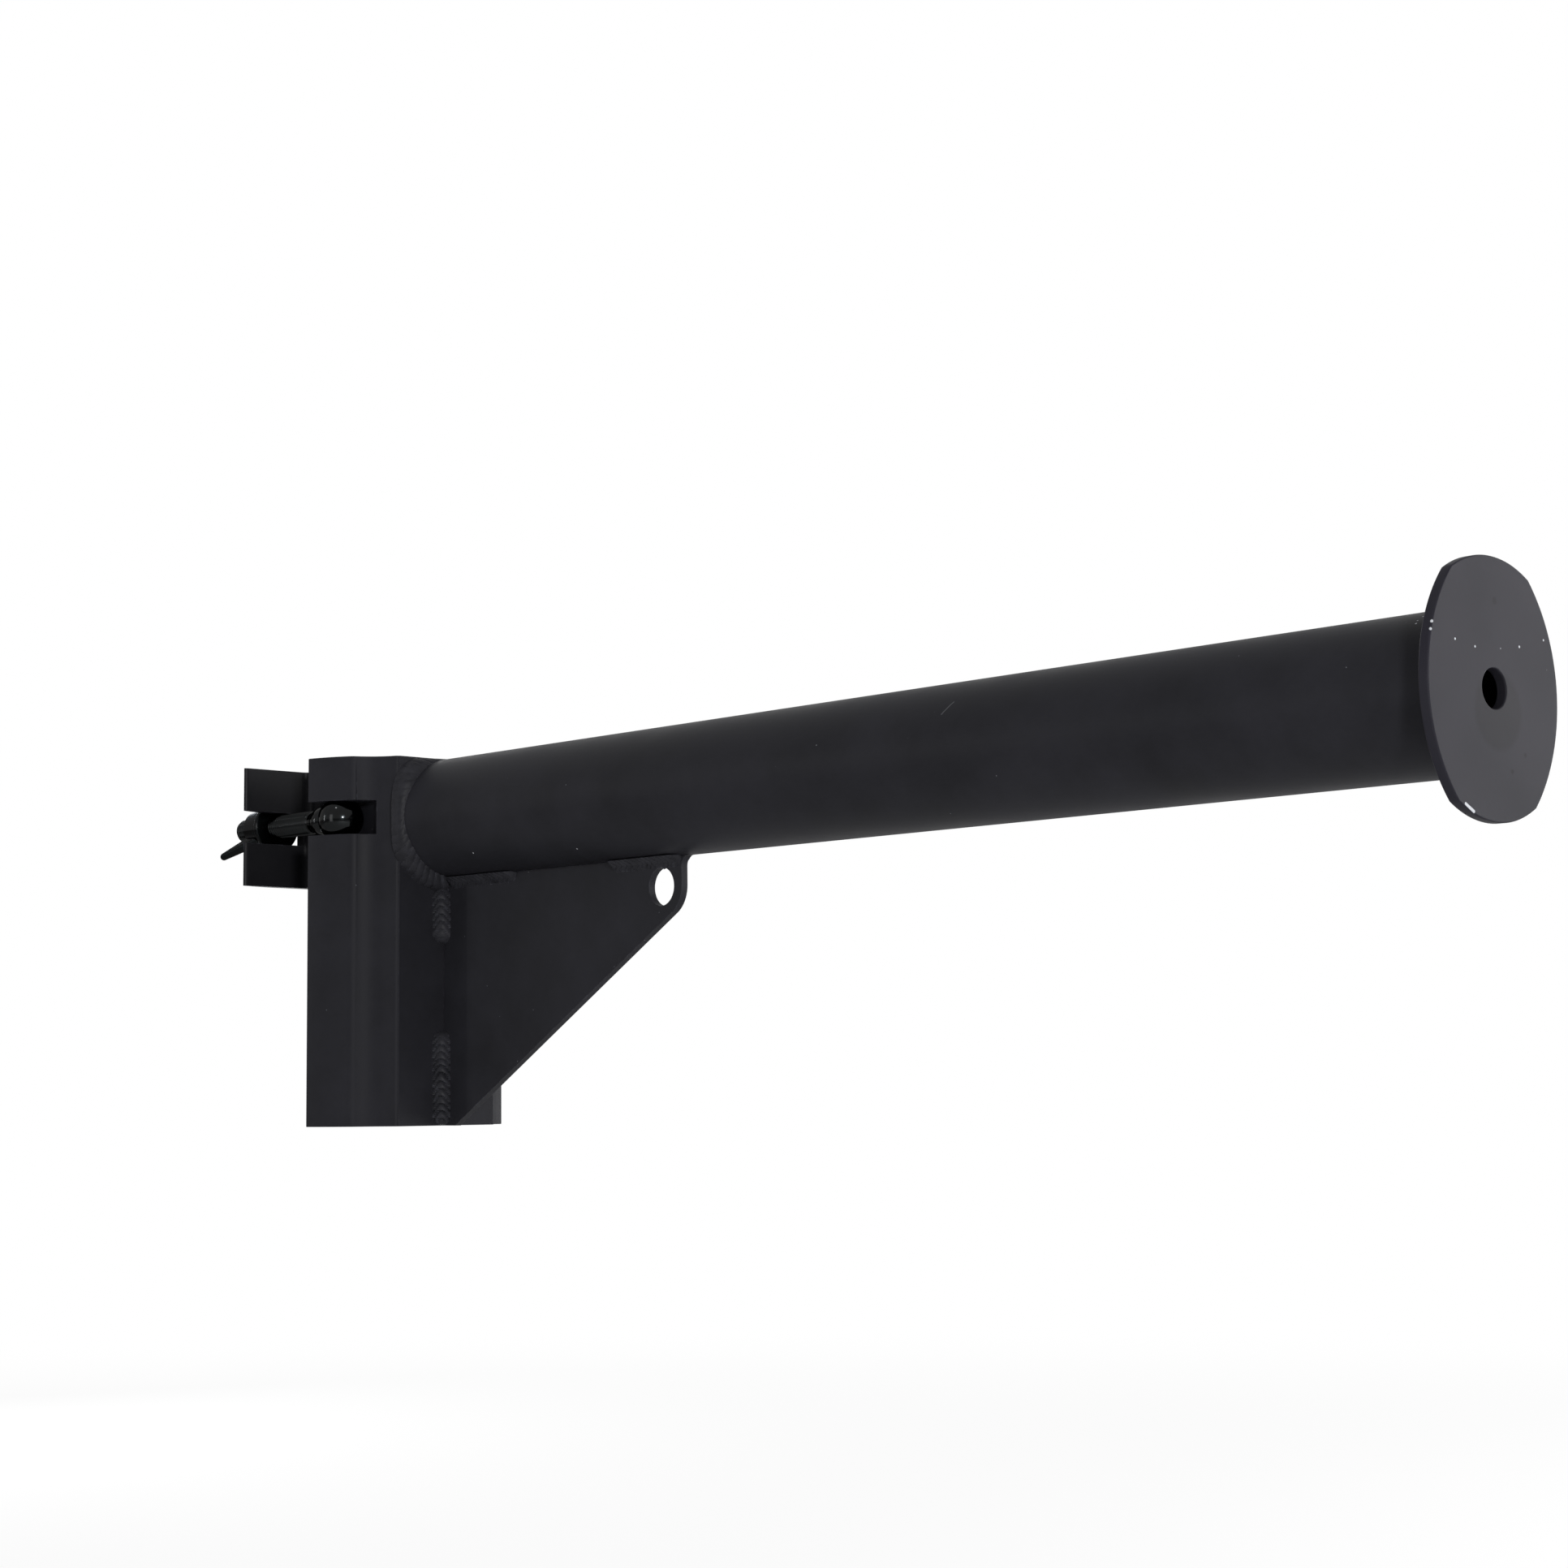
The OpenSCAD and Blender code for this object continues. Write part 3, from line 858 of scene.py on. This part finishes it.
@dataclass
class WeldBeads:
    """The beads that join the tube, the gusset and the end plate, all in millimetres.

    The wrap and run values shape the root bead where it folds behind the saddle's flat. The
    hidden ones are how deep a bead's hidden side lies in the metal.
    """

    tube_r: float = 25.0
    flat_x: float = 41.8
    saddle_top: float = 25.3
    saddle_bottom: float = -127.5
    plate_x: float = 553.5
    gusset_y: float = 1.5
    eye_x: float = 194.65
    wrap_y: float = 28.3
    wrap_leg: float = 3.3
    wrap_blend: float = 1.2
    wrap_least: float = 0.25
    run_least: float = 0.55
    round_seed: float = 0.3
    hidden: float = 0.4
    hidden_deep: float = 0.8
    wall_upper_start: float = -52.2
    wall_upper_length: float = 24.0
    wall_lower_length: float = 39.0
    seam_gap: float = 4.0
    seam_inner_length: float = 46.0
    seam_outer_length: float = 42.0
    root: BeadStyle = BeadStyle(6.0, 3.2, 0.19, calm=0.8)
    tip: BeadStyle = BeadStyle(2.6, 2.0, 0.03, flat_share=0.9)
    wall: BeadStyle = BeadStyle(4.8, 3.1, 0.22, bow=0.95, side_share=1.2)
    seam: BeadStyle = BeadStyle(4.4, 3.1, 0.17, flat_share=0.9)

    def room(self, turn: float, leg: float) -> float:
        """How far the root bead may stand off the tube, so that it stays flush with the saddle.

        Args:
            turn: place round the tube in radians, zero below it.
            leg: the bead's full leg in millimetres.

        Returns:
            The height off the tube in millimetres: a soft least of the leg, the saddle's side
            and its top.
        """
        side = self.wrap_y / max(TINY, abs(math.sin(turn))) - self.tube_r
        top = self.saddle_top / max(TINY, -math.cos(turn)) - self.tube_r
        total = sum(math.exp(-r / self.wrap_blend) for r in (leg, side, top))
        return max(self.wrap_least, -self.wrap_blend * math.log(total))

    def round_bead(self, style: BeadStyle, face_x: float, away: float,
                   behind_leg: float) -> bmesh.types.BMesh:
        """Lays a bead round the tube where it meets a face.

        Args:
            style: how the bead is laid.
            face_x: where the face stands along the tube.
            away: 1 where the bead lies beyond the face, -1 where it lies before it.
            behind_leg: leg of the part that wraps behind the face, or 0 for none.

        Returns:
            The mesh, in metres.
        """
        ripples = round(math.tau * self.tube_r / style.ripple_mm)
        steps = ripples * RINGS_PER_RIPPLE
        style = replace(style, ripple_mm=math.tau * self.tube_r / ripples)
        across, arc = (2 * BEAD_FACETS, math.pi) if behind_leg else (BEAD_FACETS, math.pi / 2)
        forward, rings = Vector((away, 0, 0)), []
        for i in range(steps):
            turn = math.tau * i / steps
            out = Vector((0, math.sin(turn), -math.cos(turn)))
            centre = out * self.tube_r + Vector((face_x, 0, 0))
            ring = [centre - out * self.hidden_deep]
            height = self.room(turn, style.leg_mm) / style.leg_mm if behind_leg else 1.0
            run = self.run_least + (1 - self.run_least) * height
            calmed = style.calm * math.sin(turn) ** 2
            for k in range(across + 1):
                angle = arc * k / across
                radius = style.reach(self.tube_r * turn, k / across, self.round_seed, calmed)
                radius *= style.flatten(angle)
                if angle > math.pi / 2:
                    radius *= 1 - (1 - behind_leg / style.leg_mm) * math.sin(angle - math.pi / 2)
                ring.append(centre + forward * (radius * run * math.cos(angle))
                            + out * (radius * height * math.sin(angle)))
            rings.append(ring)
        return loft(rings, True)

    def build(self, coat: bpy.types.Material) -> None:
        """Lays and dresses every bead.

        Args:
            coat: the powder coat over the beads.
        """
        root = self.round_bead(self.root, self.flat_x, 1, self.wrap_leg)
        finish_piece(object_from("root_bead", root), Body.ARM, Slot.WELD, coat, "tube_root_weld")
        tip = self.round_bead(self.tip, self.plate_x, -1, 0)
        finish_piece(object_from("tip_bead", tip), Body.ARM, Slot.WELD, coat, "tube_tip_weld")
        walls = (("upper", self.wall_upper_start, self.wall_upper_length),
                 ("lower", self.saddle_bottom, self.wall_lower_length))
        seams = (("inner", self.flat_x + self.seam_gap, self.seam_inner_length),
                 ("outer", self.eye_x - self.seam_outer_length, self.seam_outer_length))
        for side, word in ((1, "left"), (-1, "right")):
            face, out, in_y = side * self.gusset_y, Vector((0, side, 0)), -side * self.hidden
            for name, start, length in walls:
                corner = Corner(Vector((self.flat_x, face, start)), Vector((0, 0, 1)),
                                Vector((1, 0, 0)), out, Vector((-self.hidden, in_y, 0)))
                work = corner.bead(self.wall, length, start + side)
                finish_piece(object_from(f"wall_bead_{name}_{word}", work), Body.ARM, Slot.WELD,
                             coat, f"wall_weld_{name}_{word}")
            for name, start, length in seams:
                corner = Corner(Vector((start, face, -self.tube_r)), Vector((1, 0, 0)),
                                Vector((0, 0, -1)), out, Vector((0, in_y, self.hidden_deep)))
                work = corner.bead(self.seam, length, start + side)
                finish_piece(object_from(f"seam_bead_{name}_{word}", work), Body.ARM, Slot.WELD,
                             coat, f"seam_weld_{name}_{word}")


@dataclass
class PhotoCamera:
    """The camera at the photograph's viewing angle, in millimetres and degrees."""

    place: Vector = Vector((1040.4, -724.14, -113.56))
    yaw: float = 137.466
    pitch: float = 5.921
    roll: float = 0.572
    focal_px: float = 3615.5
    picture_px: float = 1932.0
    sensor: float = 36.0
    clip_m: Span = (0.01, 100.0)

    def axes(self) -> tuple[Vector, Vector, Vector]:
        """The picture's right, its up and the way back to the camera, as unit vectors."""
        yaw, pitch, roll = (math.radians(a) for a in (self.yaw, self.pitch, self.roll))
        forward = Vector((math.cos(pitch) * math.cos(yaw), math.cos(pitch) * math.sin(yaw),
                          math.sin(pitch)))
        level = Vector((math.sin(yaw), -math.cos(yaw), 0))
        down = forward.cross(level)
        right = level * math.cos(roll) + down * math.sin(roll)
        low = down * math.cos(roll) - level * math.sin(roll)
        return right, -low, -forward

    def build(self) -> None:
        """Creates the camera and makes it the scene's own."""
        data = bpy.data.cameras.new("photo_camera")
        data.sensor_width = self.sensor
        data.lens = self.focal_px / self.picture_px * self.sensor
        data.clip_start, data.clip_end = self.clip_m
        matrix = Matrix(self.axes()).transposed().to_4x4()
        matrix.translation = self.place * MM
        camera = bpy.data.objects.new("photo_camera", data)
        camera.matrix_world = matrix
        bpy.context.scene.collection.objects.link(camera)
        bpy.context.scene.camera = camera


@dataclass(frozen=True)
class SoftBox:
    """A flat soft lamp: its place, what it faces and its size, all in metres, and its power."""

    name: str
    place: tuple[float, float, float]
    aim: tuple[float, float, float]
    width: float
    height: float
    watts: float

    def build(self) -> None:
        """Adds the lamp to the scene."""
        data = bpy.data.lights.new(self.name, "AREA")
        data.shape, data.energy = "RECTANGLE", self.watts
        data.size, data.size_y = self.width, self.height
        obj = bpy.data.objects.new(self.name, data)
        obj.location = self.place
        facing = (Vector(self.aim) - obj.location).to_track_quat("-Z", "Y")
        obj.rotation_euler = facing.to_euler()
        bpy.context.scene.collection.objects.link(obj)


@dataclass
class Studio:
    """Pale floor, white surroundings and soft lamps, in metres."""

    floor_z: float = -0.42
    floor_half: float = 30.0
    white_hex: str = "#FFFFFF"
    world_level: float = 0.33
    seen_level: float = 1.0
    lamps: tuple[SoftBox, ...] = (
        SoftBox("plate_side", (1.55, 1.45, 0.40), (0.55, 0.0, 0.0), 1.0, 1.5, 35.0),
        SoftBox("strip_left", (-1.00, -1.48, 0.15), (0.0, 0.0, 0.0), 0.07, 0.6, 4.0),
        SoftBox("front_left", (0.20, -1.90, 0.10), (0.1, 0.0, 0.0), 0.5, 1.0, 5.5),
        SoftBox("small_high", (0.37, -1.04, 1.44), (0.0, 0.0, 0.0), 0.16, 0.12, 2.5),
        SoftBox("small_front", (1.63, -0.78, 0.17), (0.0, 0.0, 0.0), 0.18, 0.14, 20.0),
        SoftBox("back_clamp", (-1.70, 0.55, 0.25), (0.0, 0.0, -0.05), 0.9, 0.9, 10.0),
        SoftBox("back_tube", (0.55, 2.00, 0.00), (0.25, 0.0, 0.0), 1.0, 0.7, 18.0),
    )

    def build(self, paint: bpy.types.Material) -> None:
        """Builds the floor, the world and the lamps.

        Args:
            paint: the floor's finish.
        """
        work = bmesh.new()
        half = self.floor_half
        work.faces.new([work.verts.new((x, y, self.floor_z))
                        for x, y in ((-half, -half), (half, -half), (half, half), (-half, half))])
        floor = object_from("studio_floor", work)
        floor.data.materials.append(paint)
        self.surround()
        for lamp in self.lamps:
            lamp.build()

    def surround(self) -> None:
        """Makes the world: a soft fill light that shows as plain white."""
        world = bpy.data.worlds.new("white_studio")
        bpy.context.scene.world = world
        world.use_nodes = True
        tree = world.node_tree
        tree.nodes.clear()
        path = add_node(tree, "ShaderNodeLightPath")
        seen = path.outputs["Is Camera Ray"]
        for ray in ("Is Glossy Ray", "Is Transmission Ray"):
            seen = reckon(tree, "MAXIMUM", seen, path.outputs[ray])
        fill, white = (add_node(tree, "ShaderNodeBackground", {
            "Color": linear(self.white_hex), "Strength": level}).outputs["Background"]
                       for level in (self.world_level, self.seen_level))
        mixed = add_node(tree, "ShaderNodeMixShader", {0: seen, 1: fill, 2: white})
        add_node(tree, "ShaderNodeOutputWorld", {"Surface": mixed.outputs["Shader"]})


def main() -> None:
    """Builds the whole scene in order."""
    logging.basicConfig(level=logging.INFO, format="%(message)s")
    bpy.context.scene.view_settings.view_transform = "Standard"
    PhotoCamera().build()
    coat = PowderCoat("satin_black_powder_coat")
    # The jaw's coat is the same powder coat painted darker in body and bloom: painted shade for
    # the fork, which lies in shade.
    jaw_coat = PowderCoat("satin_black_powder_coat_with_painted_shade", body_hex="#111113",
                          bloom_hex="#171719", roughness=0.36, peel_mm=1.3).build()
    weld_coat = PowderCoat("satin_black_powder_coat_over_weld", body_hex="#1C1C1F",
                           bloom_hex="#26262A", roughness=0.44, bloom_mm=6.0,
                           specular=0.05).build()
    bolt_steel = BlackPlate("black_zinc_plated_forged_steel").build()
    pin_steel = BlackPlate("black_zinc_plated_turned_steel", roughness=0.26,
                           forge_depth_mm=0.01).build()
    nut_steel = BlackPlate("black_zinc_plated_casting", roughness=0.27, dull=0.38,
                           seal=0.12).build()
    BoomArm().build(coat)
    SaddleClamp().build(coat.build(), jaw_coat, pin_steel)
    EyeBoltSet().build(bolt_steel, nut_steel)
    WeldBeads().build(weld_coat)
    Studio().build(FloorPaint().build())


if __name__ == "__main__":
    main()
